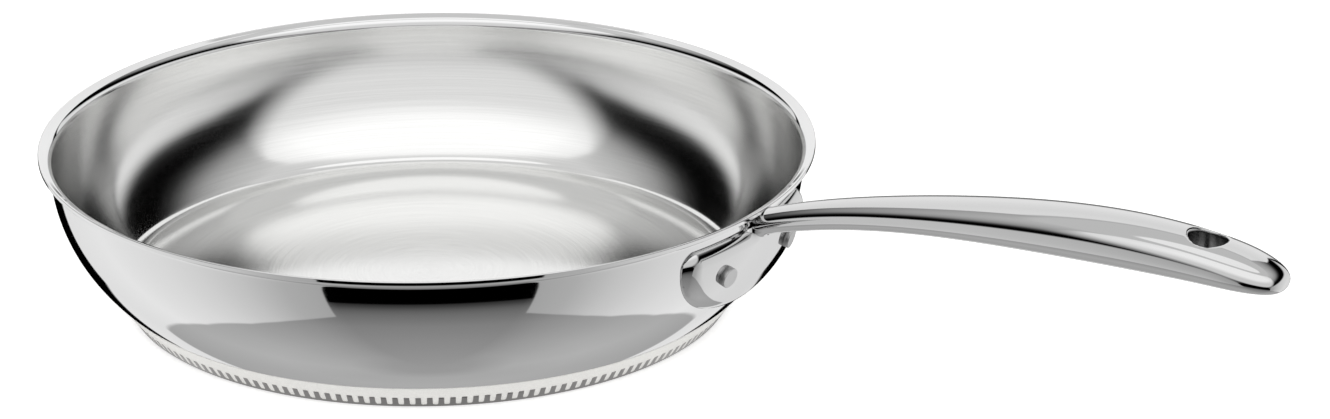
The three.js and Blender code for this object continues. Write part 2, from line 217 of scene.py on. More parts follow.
class HandleSizes(bpy.types.PropertyGroup):
    """Sizes of the cast handle."""
    flange_width: length("Flange width", "Across the flange on the wall", HANDLE_HIGH.y - HANDLE_LOW.y)
    flange_top: length("Flange top", "Height of the flange's straight edge", 53 * MM)
    flange_bottom: length("Flange bottom", "Height of the flange's lowest point", HANDLE_LOW.z)
    flange_thickness: length("Flange thickness", "From the wall to the flange's face", 3.9 * MM)
    flange_roll: length("Flange roll", "Width of the flange's rounded edge", 5.4 * MM)
    flange_gap: length("Flange gap", "Room between the casting and the pan", 0.1 * MM)
    root: length("Root", "Where the stem starts along the handle", 146 * MM)
    root_height: length("Root height", "Middle of the stem where it starts", 55.6 * MM)
    root_fillet: length("Root fillet", "Reach of the fillet between stem and flange", 5 * MM)
    rise: length("Rise", "How far the handle climbs from its root", 18.9 * MM)
    tip: length("Tip", "End of the handle", HANDLE_HIGH.x)
    tip_round: length("Tip round", "Length over which the end rounds off", 25.5 * MM)
    crown: FloatProperty(
        name="Crown", description="How much rounder the grip is on top than below", default=0.06)
    hole_radius: length("Hole radius", "Hang hole", 6.7 * MM)
    hole_from_tip: length("Hole from tip", "Middle of the hang hole from the end", 28.7 * MM)
    hole_edge: length("Hole edge", "Reach of the hang hole's rounded edge", 1.8 * MM)


class RivetSizes(bpy.types.PropertyGroup):
    """Sizes of the two rivets."""
    spacing: length("Spacing", "From one rivet to the other", 42.7 * MM)
    height: length("Height", "Middle of the rivets on the wall", 41 * MM)
    shank_radius: length("Shank radius", "Shank through wall and flange", 2.5 * MM)
    head_radius: length("Head radius", "Head inside the pan", 6 * MM)
    head_height: length("Head height", "Rise of the head inside the pan", 1.8 * MM)
    tail_radius: length("Tail radius", "Tail on the flange", 3.75 * MM)
    tail_height: length("Tail height", "Height of the tail over the flange", 1.9 * MM)
    edge_round: length("Edge round", "Round of the tail's edge", 0.3 * MM)


class Finishes(bpy.types.PropertyGroup):
    """Colours of the bare metals."""
    polished: colour("Polished steel", "Mirror polished stainless steel", "#E9E9E9")
    brushed: colour("Brushed steel", "Stainless steel brushed in rings", "#F2F2F1")
    aluminium: colour("Aluminium", "Pressed aluminium core", "#F6F5F2")
    plate: colour("Plate steel", "Satin steel of the toothed plate", "#B5B3B2")
    cast: colour("Cast steel", "Mirror polished cast stainless steel", "#DADADA")
    drilled: colour("Drilled steel", "Unpolished bore of the hang hole", "#ACACAC")
    rivet: colour("Rivet steel", "Pressed steel of the rivets", "#CFCFCF")


class StudioSettings(bpy.types.PropertyGroup):
    """Floor, light and camera."""
    floor: colour("Floor", "Pale floor", "#F7F7F6")
    floor_radius: length("Floor radius", "Reach of the floor", 6.0)
    view_turn: angle("View turn", "Camera's turn from square on the handle towards its tip", 30.2)
    view_height: angle("View height", "Camera's elevation", 21.16)
    light_turn: angle("Light turn", "Middle of the studio to the right of the camera", 3)
    lens: FloatProperty(name="Lens", description="Focal length on a 36 mm sensor", default=125.45)
    camera_place: FloatVectorProperty(
        name="Camera place", description="Where the camera stands", default=(0.8766, -1.3335, 0.6476),
        subtype="TRANSLATION", size=3)


def add(tree, kind, inputs=None, stops=None, **settings):
    """Add one node with its settings, its ramp's stops if it has one, and its inputs: a value, a socket to
    link, or a node to link by its first output."""
    node = tree.nodes.new(kind)
    for name, value in settings.items():
        setattr(node, name, value)
    for i, (place, value) in enumerate(stops or []):
        ramp = node.color_ramp.elements
        stop = ramp[i] if i < 2 else ramp.new(place)
        stop.position = place
        stop.color = (value, value, value, 1)
    for name, value in (inputs or {}).items():
        if isinstance(value, bpy.types.Node):
            value = value.outputs[0]
        if isinstance(value, bpy.types.NodeSocket):
            tree.links.new(value, node.inputs[name])
        else:
            node.inputs[name].default_value = value
    return node


def new_finish(name):
    """An empty node material."""
    finish = bpy.data.materials.new(name)
    finish.use_nodes = True
    finish.node_tree.nodes.clear()
    return finish, finish.node_tree


def ring_grain(tree, spacing, stroke):
    """Grain that runs round the pan's axis: lines this far apart up the section, in strokes about this many
    radians long."""
    place = add(tree, "ShaderNodeTexCoord").outputs["Object"]
    part = add(tree, "ShaderNodeSeparateXYZ", {0: place})
    flat = add(tree, "ShaderNodeCombineXYZ", {"X": part.outputs["X"], "Y": part.outputs["Y"]})
    radius = add(tree, "ShaderNodeVectorMath", {0: flat}, operation="LENGTH")
    up_section = add(tree, "ShaderNodeMath", {0: radius.outputs["Value"], 1: part.outputs["Z"]})
    lines = add(tree, "ShaderNodeMath", {0: up_section, 1: 1 / spacing}, operation="MULTIPLY")
    outward = add(tree, "ShaderNodeVectorMath", {0: flat}, operation="NORMALIZE")
    along = add(tree, "ShaderNodeVectorMath", {0: outward, "Scale": 1 / stroke}, operation="SCALE")
    across = add(tree, "ShaderNodeCombineXYZ", {"Z": lines})
    grain = add(tree, "ShaderNodeVectorMath", {0: along, 1: across})
    return add(tree, "ShaderNodeTexNoise", {"Vector": grain, "Scale": 1.0, "Detail": 2.0})


def polished_steel(finishes):
    """Stainless steel sheet, spun and mirror buffed: a clear mirror with a trace of buffing lines."""
    finish, tree = new_finish("stainless_steel_mirror_buffed")
    grain = ring_grain(tree, 0.6 * MM, 0.3)
    rough = add(tree, "ShaderNodeMapRange", {"Value": grain, "To Min": 0.025, "To Max": 0.055})
    shader = add(tree, "ShaderNodeBsdfPrincipled", {
        "Base Color": (*finishes.polished, 1), "Metallic": 1.0, "Roughness": rough})
    add(tree, "ShaderNodeOutputMaterial", {"Surface": shader})
    return finish


def brushed_steel(finishes):
    """Stainless steel sheet brushed in rings, coarser toward the rim: light smears across the grooves into
    soft streaks. The real grooves are about 0.05 mm apart, and are drawn coarser here so that they show."""
    finish, tree = new_finish("stainless_steel_ring_brushed")
    grain = ring_grain(tree, 0.6 * MM, 0.5)
    place = add(tree, "ShaderNodeTexCoord").outputs["Object"]
    height = add(tree, "ShaderNodeSeparateXYZ", {0: place}).outputs["Z"]
    wear = add(tree, "ShaderNodeMapRange", {
        "Value": height, "From Min": 20 * MM, "From Max": 50 * MM, "To Min": 0.105, "To Max": 0.2})
    rough = add(tree, "ShaderNodeMapRange", {
        "Value": grain, "From Min": 0.3, "From Max": 0.7, "To Max": 0.02})
    rough = add(tree, "ShaderNodeMath", {0: wear, 1: rough})
    tint = add(tree, "ShaderNodeMapRange", {
        "Value": grain, "From Min": 0.3, "From Max": 0.7, "To Min": 0.955, "To Max": 1.025})
    shade = add(tree, "ShaderNodeMix", {"Factor": 1.0, 6: (*finishes.brushed, 1), 7: tint},
                data_type="RGBA", blend_type="MULTIPLY")
    turn = add(tree, "ShaderNodeTangent", direction_type="RADIAL", axis="Z")
    shader = add(tree, "ShaderNodeBsdfPrincipled", {
        "Base Color": shade.outputs[2], "Metallic": 1.0, "Roughness": rough,
        "Anisotropic": 0.45, "Anisotropic Rotation": 0.25, "Tangent": turn})
    add(tree, "ShaderNodeOutputMaterial", {"Surface": shader})
    return finish


def pressed_aluminium(finishes):
    """Aluminium pressed and left with its matt grain: pale, soft and even, with a fine speckle."""
    finish, tree = new_finish("aluminium_pressed_matt")
    place = add(tree, "ShaderNodeTexCoord").outputs["Object"]
    grit = add(tree, "ShaderNodeTexNoise", {"Vector": place, "Scale": 1 / (0.5 * MM), "Detail": 3.0})
    tint = add(tree, "ShaderNodeMapRange", {
        "Value": grit, "From Min": 0.3, "From Max": 0.7, "To Min": 0.93, "To Max": 1.02})
    shade = add(tree, "ShaderNodeMix", {"Factor": 1.0, 6: (*finishes.aluminium, 1), 7: tint},
                data_type="RGBA", blend_type="MULTIPLY")
    dent = add(tree, "ShaderNodeBump", {"Height": grit, "Strength": 0.15, "Distance": 0.05 * MM})
    shader = add(tree, "ShaderNodeBsdfPrincipled", {
        "Base Color": shade.outputs[2], "Metallic": 0.25, "Roughness": 0.5, "Normal": dent})
    add(tree, "ShaderNodeOutputMaterial", {"Surface": shader})
    return finish


def satin_steel(finishes):
    """Stainless steel plate, stamped and left satin: a duller, darker grey than the buffed sheet."""
    finish, tree = new_finish("stainless_steel_stamped_satin")
    grain = ring_grain(tree, 0.4 * MM, 0.05)
    rough = add(tree, "ShaderNodeMapRange", {"Value": grain, "To Min": 0.3, "To Max": 0.45})
    shader = add(tree, "ShaderNodeBsdfPrincipled", {
        "Base Color": (*finishes.plate, 1), "Metallic": 1.0, "Roughness": rough})
    add(tree, "ShaderNodeOutputMaterial", {"Surface": shader})
    return finish


def polished_casting(finishes, handle):
    """Cast stainless steel, ground and mirror buffed: a clear mirror that swims a little over the casting.
    The hang hole is left as drilled, so its bore is a dull dark grey."""
    finish, tree = new_finish("cast_stainless_steel_mirror_buffed")
    place = add(tree, "ShaderNodeTexCoord").outputs["Object"]
    hole = (handle.tip - handle.hole_from_tip, 0, 0)
    away = add(tree, "ShaderNodeVectorMath", {0: place, 1: hole}, operation="SUBTRACT")
    flat = add(tree, "ShaderNodeVectorMath", {0: away, 1: (1, 1, 0)}, operation="MULTIPLY")
    radius = add(tree, "ShaderNodeVectorMath", {0: flat}, operation="LENGTH")
    dull_until, buffed_from = handle.hole_radius + 0.15 * MM, handle.hole_radius + 0.3 * MM
    bored = add(tree, "ShaderNodeMapRange", {
        "Value": radius.outputs["Value"], "From Min": buffed_from, "From Max": dull_until})
    shade = add(tree, "ShaderNodeMix", {"Factor": bored, 6: (*finishes.cast, 1), 7: (*finishes.drilled, 1)},
                data_type="RGBA")
    cloud = add(tree, "ShaderNodeTexNoise", {"Vector": place, "Scale": 1 / (9 * MM), "Detail": 2.0})
    buffed = add(tree, "ShaderNodeMapRange", {"Value": cloud, "To Min": 0.03, "To Max": 0.065})
    cuts = add(tree, "ShaderNodeTexNoise", {"Vector": place, "Scale": 1 / (1.2 * MM), "Detail": 2.0})
    drilled = add(tree, "ShaderNodeMapRange", {"Value": cuts, "To Min": 0.12, "To Max": 0.25})
    rough = add(tree, "ShaderNodeMix", {0: bored, 2: buffed, 3: drilled})
    shader = add(tree, "ShaderNodeBsdfPrincipled", {
        "Base Color": shade.outputs[2], "Metallic": 1.0, "Roughness": rough})
    add(tree, "ShaderNodeOutputMaterial", {"Surface": shader})
    return finish


def pressed_rivet_steel(finishes):
    """Stainless steel wire, cut and pressed: satin grey with faint lines left by the press."""
    finish, tree = new_finish("stainless_steel_wire_pressed")
    place = add(tree, "ShaderNodeTexCoord").outputs["Object"]
    lines = add(tree, "ShaderNodeTexNoise", {"Vector": place, "Scale": 1 / (0.7 * MM), "Detail": 2.0})
    rough = add(tree, "ShaderNodeMapRange", {"Value": lines, "To Min": 0.38, "To Max": 0.5})
    shader = add(tree, "ShaderNodeBsdfPrincipled", {
        "Base Color": (*finishes.rivet, 1), "Metallic": 1.0, "Roughness": rough})
    add(tree, "ShaderNodeOutputMaterial", {"Surface": shader})
    return finish


def bezier(points, steps):
    """Points along a Bezier curve."""
    t = np.linspace(0, 1, steps + 1)[:, None]
    layer = [np.asarray(p, float) + 0 * t for p in points]
    while len(layer) > 1:
        layer = [a + (b - a) * t for a, b in zip(layer, layer[1:])]
    return layer[0]


def arc(middle, radius, start, end, steps):
    """Points along an arc, with angles in radians from outward to up."""
    turn = np.linspace(start, end, steps + 1)
    return np.array(middle) + radius * np.stack([np.cos(turn), np.sin(turn)], 1)


def offset(line, distance):
    """A line of radius and height moved to its left, by a distance for each point."""
    along = np.gradient(line, axis=0)
    along /= np.linalg.norm(along, axis=1, keepdims=True)
    return line + distance[:, None] * np.stack([-along[:, 1], along[:, 0]], 1)


def rounded(corners):
    """A line through corners of radius, height and round, each round an arc between support points."""
    line = []
    for i, (radius, height, size) in enumerate(corners):
        here = np.array((radius, height))
        if size == 0:
            line.append(here)
            continue
        before = np.array(corners[i - 1][:2]) - here
        after = np.array(corners[i + 1][:2]) - here
        room_before, room_after = np.linalg.norm(before), np.linalg.norm(after)
        before, after = before / room_before, after / room_after
        half = math.acos(np.clip(before @ after, -1, 1)) / 2
        reach = size / math.tan(half)
        line.append(here + before * min(SUPPORT_REACH * reach, SUPPORT_LIMIT * room_before))
        ends = [here + before * reach, here, here + after * reach]
        weight = math.sin(half)
        for t in np.linspace(0, 1, FILLET_STEPS + 1):
            share = np.array(((1 - t) ** 2, 2 * t * (1 - t) * weight, t * t))
            line.append(share @ np.array(ends) / share.sum())
        line.append(here + after * min(SUPPORT_REACH * reach, SUPPORT_LIMIT * room_after))
    return np.array(line)


def ring_faces(rings, sides):
    """Faces over rings of points, one ring after another, closed by the two points that follow them."""
    here = np.arange(sides)
    after = (here + 1) % sides
    first, last, top = rings * sides, rings * sides + 1, (rings - 1) * sides
    faces = [(first, b, a) for a, b in zip(here, after)]
    for low in range(0, top, sides):
        high = low + sides
        faces += zip(low + here, low + after, high + after, high + here)
    return faces + [(last, top + a, top + b) for a, b in zip(here, after)]


def turned(profile, sides):
    """Points and faces of a line of radius and height turned round the Z axis, from the axis back to it."""
    turn = 2 * math.pi * np.arange(sides) / sides
    rings = profile[1:-1]
    ring_points = np.stack([
        np.outer(rings[:, 0], np.cos(turn)), np.outer(rings[:, 0], np.sin(turn)),
        np.repeat(rings[:, 1:], sides, 1)], 2).reshape(-1, 3)
    points = np.concatenate([ring_points, [(0, 0, profile[0, 1]), (0, 0, profile[-1, 1])]])
    return points, ring_faces(len(rings), sides)


def piece(name, points, faces, finishes, node):
    """A smooth mesh object with these finishes that stands for a CAD node and rides on the pan."""
    mesh = bpy.data.meshes.new(name)
    mesh.from_pydata([tuple(p) for p in points], [], [tuple(int(i) for i in f) for f in faces])
    if mesh.validate():
        raise RuntimeError(f"the mesh of {name} has bad faces")
    mesh.shade_smooth()
    for finish in finishes:
        mesh.materials.append(finish)
    made = bpy.data.objects.new(name, mesh)
    bpy.context.scene.collection.objects.link(made)
    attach(made, "root")
    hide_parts(node)
    return made


def wall_line(body, steps):
    """Outside of the wall, from the foot's corner up to where the lip bends out."""
    foot = np.array((body.floor_radius + body.foot_overhang, body.floor_height - body.sheet + body.foot_rise))
    top = np.array((body.rim_radius - body.lip_reach, body.rim_height - body.lip_rise))
    tall = top[1] - foot[1]
    foot_pull = FOOT_PULL * tall * np.array((math.cos(body.foot_slope), math.sin(body.foot_slope)))
    top_pull = WALL_PULL * tall * np.array((math.sin(body.wall_lean), math.cos(body.wall_lean)))
    return bezier([foot, foot + foot_pull, top - top_pull, top], steps)


def lip_line(body, steps):
    """Underside of the lip, from the wall's top out to the edge."""
    start = np.array((body.rim_radius - body.lip_reach, body.rim_height - body.lip_rise))
    out = np.array((math.cos(body.lip_slope), math.sin(body.lip_slope)))
    down = np.array((out[1], -out[0]))
    top_corner = np.array((body.rim_radius, body.rim_height)) - body.edge_round
    set_back = 1.5 * body.edge_round
    edge = top_corner + down * (body.lip_edge - body.edge_round) - out * set_back
    leg = edge[1] - (edge[0] - start[0]) * math.tan(body.lip_slope) - start[1]
    turn = math.pi / 2 - body.lip_slope
    radius = leg / math.tan(turn / 2)
    bend = arc(start + (radius, 0), radius, math.pi, math.pi - turn, steps)
    straight = bezier([bend[-1], edge], steps)
    return np.concatenate([bend, straight[1:]])


def body_profile(body):
    """Half section of the sheet: out along the underside, up the wall, over the lip and down the inside. Also
    how many of its rings are polished."""
    wall = wall_line(body, WALL_STEPS)
    lip = lip_line(body, LIP_STEPS)
    outside = np.concatenate([wall, lip[1:]])
    sheet = np.full(len(outside), body.sheet)
    sheet[-2 * LIP_STEPS:] = np.linspace(body.sheet, body.lip_edge, 2 * LIP_STEPS)
    inside = offset(outside, sheet)[::-1]
    climb = math.tan(body.lip_slope)
    low, high = [(*p, 0) for p in (outside[-1], inside[0])]
    face = [
        (body.rim_radius, p[1] + climb * (body.rim_radius - p[0]), body.edge_round) for p in (low, high)]
    edge = rounded([low, *face, high])[1:-1]
    under = body.floor_height - body.sheet
    foot_flat = body.floor_radius - 1 * MM
    foot = [(r, under) for r in np.linspace(0, foot_flat, UNDERSIDE_RINGS)]
    inside = inside[inside[:, 1] > body.floor_height + body.corner_rise]
    run = (inside[-1] - inside[-2]) / (inside[-1, 1] - inside[-2, 1])
    bend = inside[-1] + run * (body.floor_height - inside[-1, 1])
    reach = np.linalg.norm(inside[-1] - bend)
    floor = [(r, body.floor_height) for r in np.linspace(bend[0] - reach, 0, FLOOR_RINGS)]
    corner = bezier([inside[-1], bend, floor[0]], 2 * FILLET_STEPS)[1:-1]
    profile = np.concatenate([foot, outside, edge, inside, corner, floor])
    brushed_lip_rings = 3
    polished_until = len(foot) + len(outside) + len(edge) + len(lip) - brushed_lip_rings
    return profile, polished_until


class FRYINGPAN_OT_body(bpy.types.Operator):
    """Build the drawn steel body with its pouring lip"""
    bl_idname = "frying_pan.body"
    bl_label = "Pan body"

    def execute(self, context):
        scene = context.scene
        profile, polished_until = body_profile(scene.pan_body_sizes)
        points, faces = turned(profile, BODY_SIDES)
        skin = [polished_steel(scene.pan_finishes), brushed_steel(scene.pan_finishes)]
        made = piece("drawn_body", points, faces, skin, "pan_body")
        brushed_from = polished_until * BODY_SIDES
        for polygon in made.data.polygons:
            polygon.material_index = int(min(polygon.vertices) >= brushed_from)
        return {"FINISHED"}


def base_side(base, height):
    """Radius of the base's leaning side at a height."""
    return base.radius + (base.top_radius - base.radius) * height / base.top_height


def core_profile(base, body):
    """Half section of the aluminium core, up to the underside of the wall's foot."""
    wall = wall_line(body, WALL_STEPS)
    low, chamfer, edge_round = 0.9 * MM, 0.1 * MM, 0.15 * MM
    room, wall_room, crown = 0.1 * MM, 0.02 * MM, 0.05 * MM
    under = body.floor_height - body.sheet - room
    meet = np.interp(base.top_height - room, wall[:, 1], wall[:, 0])
    return rounded([
        (0, low, 0),
        (base_side(base, low) - chamfer, low, 0),
        (base_side(base, low + chamfer), low + chamfer, 0),
        (base.top_radius, base.top_height, edge_round),
        (meet + wall_room, base.top_height + crown, 0),
        (body.floor_radius + body.foot_overhang, under + body.foot_rise - room, 0),
        (body.floor_radius, under, 0),
        (0, under, 0),
    ])


def tooth_outline(base, teeth):
    """Angle and height of the toothed edge right round: a round-cornered gap between flat-topped teeth."""
    pitch = 2 * math.pi / teeth
    half_gap = base.gap_width / 2 / base.radius
    round_turn = base.gap_round / base.radius
    tooth_round, draft = 0.25 * MM, 0.06 * MM
    bend = np.linspace(0, math.pi / 2, TOOTH_COLUMNS)
    gap_side = half_gap - round_turn * (1 - np.cos(bend[::-1]))
    gap_high = base.gap_bottom + base.gap_round * (1 - np.sin(bend[::-1]))
    top_side = half_gap + (draft + tooth_round * (1 - np.cos(bend))) / base.radius
    top_high = base.tooth_top - tooth_round * (1 - np.sin(bend))
    gap_line = np.stack([gap_side[1:], gap_high[1:]], 1)
    top_line = np.stack([top_side, top_high], 1)
    right = np.concatenate([gap_line, top_line])
    left = right[::-1] * (-1, 1)
    one = np.concatenate([left, right])
    turns = [(i + 0.5) * pitch - math.pi / 2 for i in range(teeth)]
    return np.concatenate([one + (turn, 0) for turn in turns])


def tooth_face(base, height):
    """Radius of the teeth's outer face at a height."""
    return base_side(base, height) + base.tooth_proud


def toothed_plate(base):
    """Points and faces of the steel plate: a flat underside, a round edge, and teeth up the leaning side."""
    teeth = round(2 * math.pi * base.radius / base.tooth_pitch)
    turn, top = tooth_outline(base, teeth).T
    level = 0 * turn
    edge_round, tooth_sheet, inner_floor = 0.2 * MM, 0.5 * MM, 0.85 * MM
    under_shares, floor_shares, first_share = (0.3, 0.6, 0.9, 0.99), (0.9, 0.5, 0.2), 0.15
    rings = [(share * base.radius, level) for share in under_shares]
    for t in np.linspace(0, 1, FILLET_STEPS):
        rise = edge_round * t ** 2
        rings.append((tooth_face(base, rise) - edge_round * (1 - t) ** 2, rise + level))
    for t in np.linspace(first_share, 1, TOOTH_RINGS):
        high = edge_round + (top - edge_round) * t
        rings.append((tooth_face(base, high), high))
    rings.append((tooth_face(base, top) - tooth_sheet, top))
    rings.append((tooth_face(base, inner_floor) - tooth_sheet + level, inner_floor + level))
    rings += [(share * base.radius, inner_floor + level) for share in floor_shares]
    points = np.concatenate([
        np.stack([radius * np.cos(turn), radius * np.sin(turn), high], 1) for radius, high in rings])
    points = np.concatenate([points, [(0, 0, 0), (0, 0, inner_floor)]])
    return points, ring_faces(len(rings), len(turn))


class FRYINGPAN_OT_base(bpy.types.Operator):
    """Build the sandwich base: an aluminium core held in a toothed steel plate"""
    bl_idname = "frying_pan.base"
    bl_label = "Sandwich base"

    def execute(self, context):
        scene = context.scene
        base, finishes = scene.pan_base_sizes, scene.pan_finishes
        points, faces = turned(core_profile(base, scene.pan_body_sizes), BODY_SIDES)
        piece("aluminium_core", points, faces, [pressed_aluminium(finishes)], "base_core")
        points, faces = toothed_plate(base)
        piece("toothed_plate", points, faces, [satin_steel(finishes)], "base_plate")
        return {"FINISHED"}


def eased_least(a, b, reach):
    """The lesser of two distances, eased into a fillet where they are within reach of each other."""
    near = np.maximum(reach - np.abs(a - b), 0) / reach
    return np.minimum(a, b) - reach * near ** 3 / 6


def curve_through(stations):
    """A smooth curve close to stations of share and value, as a function of the share."""
    share, value = np.array(stations).T
    return np.polynomial.Polynomial.fit(share, value, len(stations) - 2)


def rivet_axes(rivets, body):
    """Where each rivet meets the wall, and which way it points out of it."""
    wall = wall_line(body, AXIS_FINENESS * WALL_STEPS)
    radius = np.interp(rivets.height, wall[:, 1], wall[:, 0])
    slope = np.interp(rivets.height, wall[1:, 1], np.diff(wall[:, 0]) / np.diff(wall[:, 1]))
    swing = math.asin(rivets.spacing / 2 / radius)
    axes = []
    for side in (-1, 1):
        across = np.array((math.cos(swing), side * math.sin(swing), 0))
        out = across - (0, 0, slope)
        axes.append((across * radius + (0, 0, rivets.height), out / np.linalg.norm(out)))
    return axes


class Casting:
    """The handle as two fields of distance: its shaped skin, and the face that fits the pan."""

    def __init__(self, handle, body, rivets):
        self.handle = handle
        self.axes = rivet_axes(rivets, body)
        self.shank = rivets.shank_radius + HOLE_ROOM
        wall = wall_line(body, FIELD_FINENESS * WALL_STEPS)
        lip = lip_line(body, FIELD_FINENESS * LIP_STEPS)
        self.wall = wall
        self.envelope = np.concatenate([wall, lip[1:], [(body.rim_radius, body.rim_height)]])
        self.rise = curve_through(RISE_STATIONS)
        self.half_width = curve_through(HALF_WIDTH_STATIONS)
        self.half_thickness = curve_through(HALF_THICKNESS_STATIONS)

    def stem(self, x, y, z):
        """Distance from the stem and grip: oval sections whose end rounds off."""
        h = self.handle
        before_root = -0.06
        share = np.clip((x - h.root) / (h.tip - h.root), before_root, 1)
        half_width = self.half_width(share) * MM
        half_thickness = self.half_thickness(share) * MM
        u = y / half_width
        crown = h.crown * share
        v = (z - h.root_height - h.rise * self.rise(share)) / half_thickness + crown
        v = v * (1 - crown * v)
        past = np.maximum((x - h.tip) / h.tip_round + 1, 0)
        oval = np.hypot(u, v) + TINY
        size = (oval ** TIP_POWER + past ** TIP_POWER) ** (1 / TIP_POWER)
        slope = np.hypot(u / half_width, v / half_thickness) + TINY
        return (size - 1) * oval / slope

    def flange(self, x, y, z):
        """Distance from the flange: straight on top, half an ellipse below, with a fat round edge."""
        h = self.handle
        out = np.hypot(x, y) - np.interp(z, self.wall[:, 1], self.wall[:, 0])
        shoulder = h.flange_top - h.flange_roll
        wide, deep = h.flange_width / 2, shoulder - h.flange_bottom
        u, v = y / wide, np.minimum(z - shoulder, 0) / deep
        oval = np.hypot(u, v) + TINY
        to_side = (1 - oval) * oval / (np.hypot(u / wide, v / deep) + TINY)
        side_roll = h.flange_roll * (1 - LOW_ROLL_LOSS * np.clip(v, -1, 0) ** 2)
        rolls = (h.flange_thickness, side_roll, h.flange_roll)
        reach = (out, side_roll - to_side, z - shoulder)
        shares = [np.maximum(part / roll, 0) for part, roll in zip(reach, rolls)]
        size = sum(share ** ROLL_POWER for share in shares) ** (1 / ROLL_POWER) + TINY
        slopes = [(share / size) ** (ROLL_POWER - 1) / roll for share, roll in zip(shares, rolls)]
        slope = np.sqrt(sum(part ** 2 for part in slopes))
        deep_inside = size < 0.05
        return np.where(deep_inside, -h.flange_thickness, (size - 1) / np.maximum(slope, 1))

    def from_hole(self, p):
        """Distance from the hang hole's side, less than nothing in the hole."""
        h = self.handle
        return np.hypot(p[0] - h.tip + h.hole_from_tip, p[1]) - h.hole_radius

    def skin(self, p):
        """Distance from the shaped skin, less than nothing inside it."""
        h = self.handle
        x, y, z = p
        solid = eased_least(self.stem(x, y, z), self.flange(x, y, z), h.root_fillet)
        solid = -eased_least(-solid, self.from_hole(p), h.hole_edge)
        for place, out in self.axes:
            from_place = [x - place[0], y - place[1], z - place[2]]
            depth = sum(a * b for a, b in zip(from_place, out))
            reach = sum(a * a for a in from_place) - depth ** 2
            solid = np.maximum(solid, self.shank - np.sqrt(np.maximum(reach, 0)))
        return solid

    def seat(self, p):
        """How far inside the pan's outline a point lies."""
        x, y, z = p
        outline = np.interp(z, self.envelope[:, 1], self.envelope[:, 0])
        return outline + self.handle.flange_gap - np.hypot(x, y)

    def solid(self, p):
        """Distance from the finished casting: its skin, cut off at its seat."""
        return np.maximum(self.skin(p), self.seat(p))


def gradient(field, p):
    """Slope of a field at points."""
    parts = []
    for i in range(3):
        step = np.zeros((3, 1))
        step[i] = SLOPE_STEP
        parts.append((field(p + step) - field(p - step)) / (2 * SLOPE_STEP))
    return np.array(parts)


def settle(field, p, rounds):
    """Move points along a field's slope towards where it is nothing."""
    for _ in range(rounds):
        slope = gradient(field, p)
        move = field(p) / np.maximum((slope ** 2).sum(0), LEAST_SLOPE)
        p = p - np.clip(move, -CASTING_STEP, CASTING_STEP) * slope
    return p


def fill_corners(inside):
    """Fill a grid's points where two of them meet only across the corner of a square."""
    for _ in range(FILL_ROUNDS):
        for axes in ((0, 1), (0, 2), (1, 2)):
            grid = np.moveaxis(inside, axes, (0, 1))
            a, b, c, d = grid[:-1, :-1], grid[:-1, 1:], grid[1:, :-1], grid[1:, 1:]
            crossed = (a == d) & (b == c) & (a != b)
            for corner in (a, b, c, d):
                corner |= crossed


def net_over(field, low, high, step):
    """A net of four-sided faces over the places where a field is nothing, one point in each crossed cell."""
    axes = [np.arange(a, b, step) for a, b in zip(low, high)]
    inside = field(np.array(np.meshgrid(*axes, indexing="ij"))) < 0
    fill_corners(inside)
    n = np.array(inside.shape) - 1
    corners = [(i, j, k) for i in (0, 1) for j in (0, 1) for k in (0, 1)]
    filled = sum(inside[i:n[0] + i, j:n[1] + j, k:n[2] + k].astype(int) for i, j, k in corners)
    cells = np.argwhere((filled > 0) & (filled < 8))
    number = np.full(n, -1)
    number[tuple(cells.T)] = np.arange(len(cells))
    points = np.array(low)[:, None] + step * (cells.T + 0.5)
    faces = []
    for axis in range(3):
        u, v = np.eye(3, dtype=int)[(axis + 1) % 3], np.eye(3, dtype=int)[(axis + 2) % 3]
        crossing = np.diff(inside.astype(int), axis=axis)
        for way in (-1, 1):
            start = np.argwhere(crossing == way)
            around = [start - u - v, start - v, start, start - u]
            quads = np.stack([number[tuple(c.T)] for c in around], 1)
            faces.append(quads if way < 0 else quads[:, ::-1])
    return points, np.concatenate(faces)


def evened(p, faces):
    """Points drawn half way to the middle of their neighbours."""
    total = np.zeros_like(p)
    count = np.zeros(p.shape[1])
    for a, b in ((0, 1), (1, 2), (2, 3), (3, 0)):
        for here, there in ((a, b), (b, a)):
            for i in range(3):
                total[i] += np.bincount(faces[:, here], p[i, faces[:, there]], len(count))
            count += np.bincount(faces[:, here], minlength=len(count))
    return (p + total / count) / 2


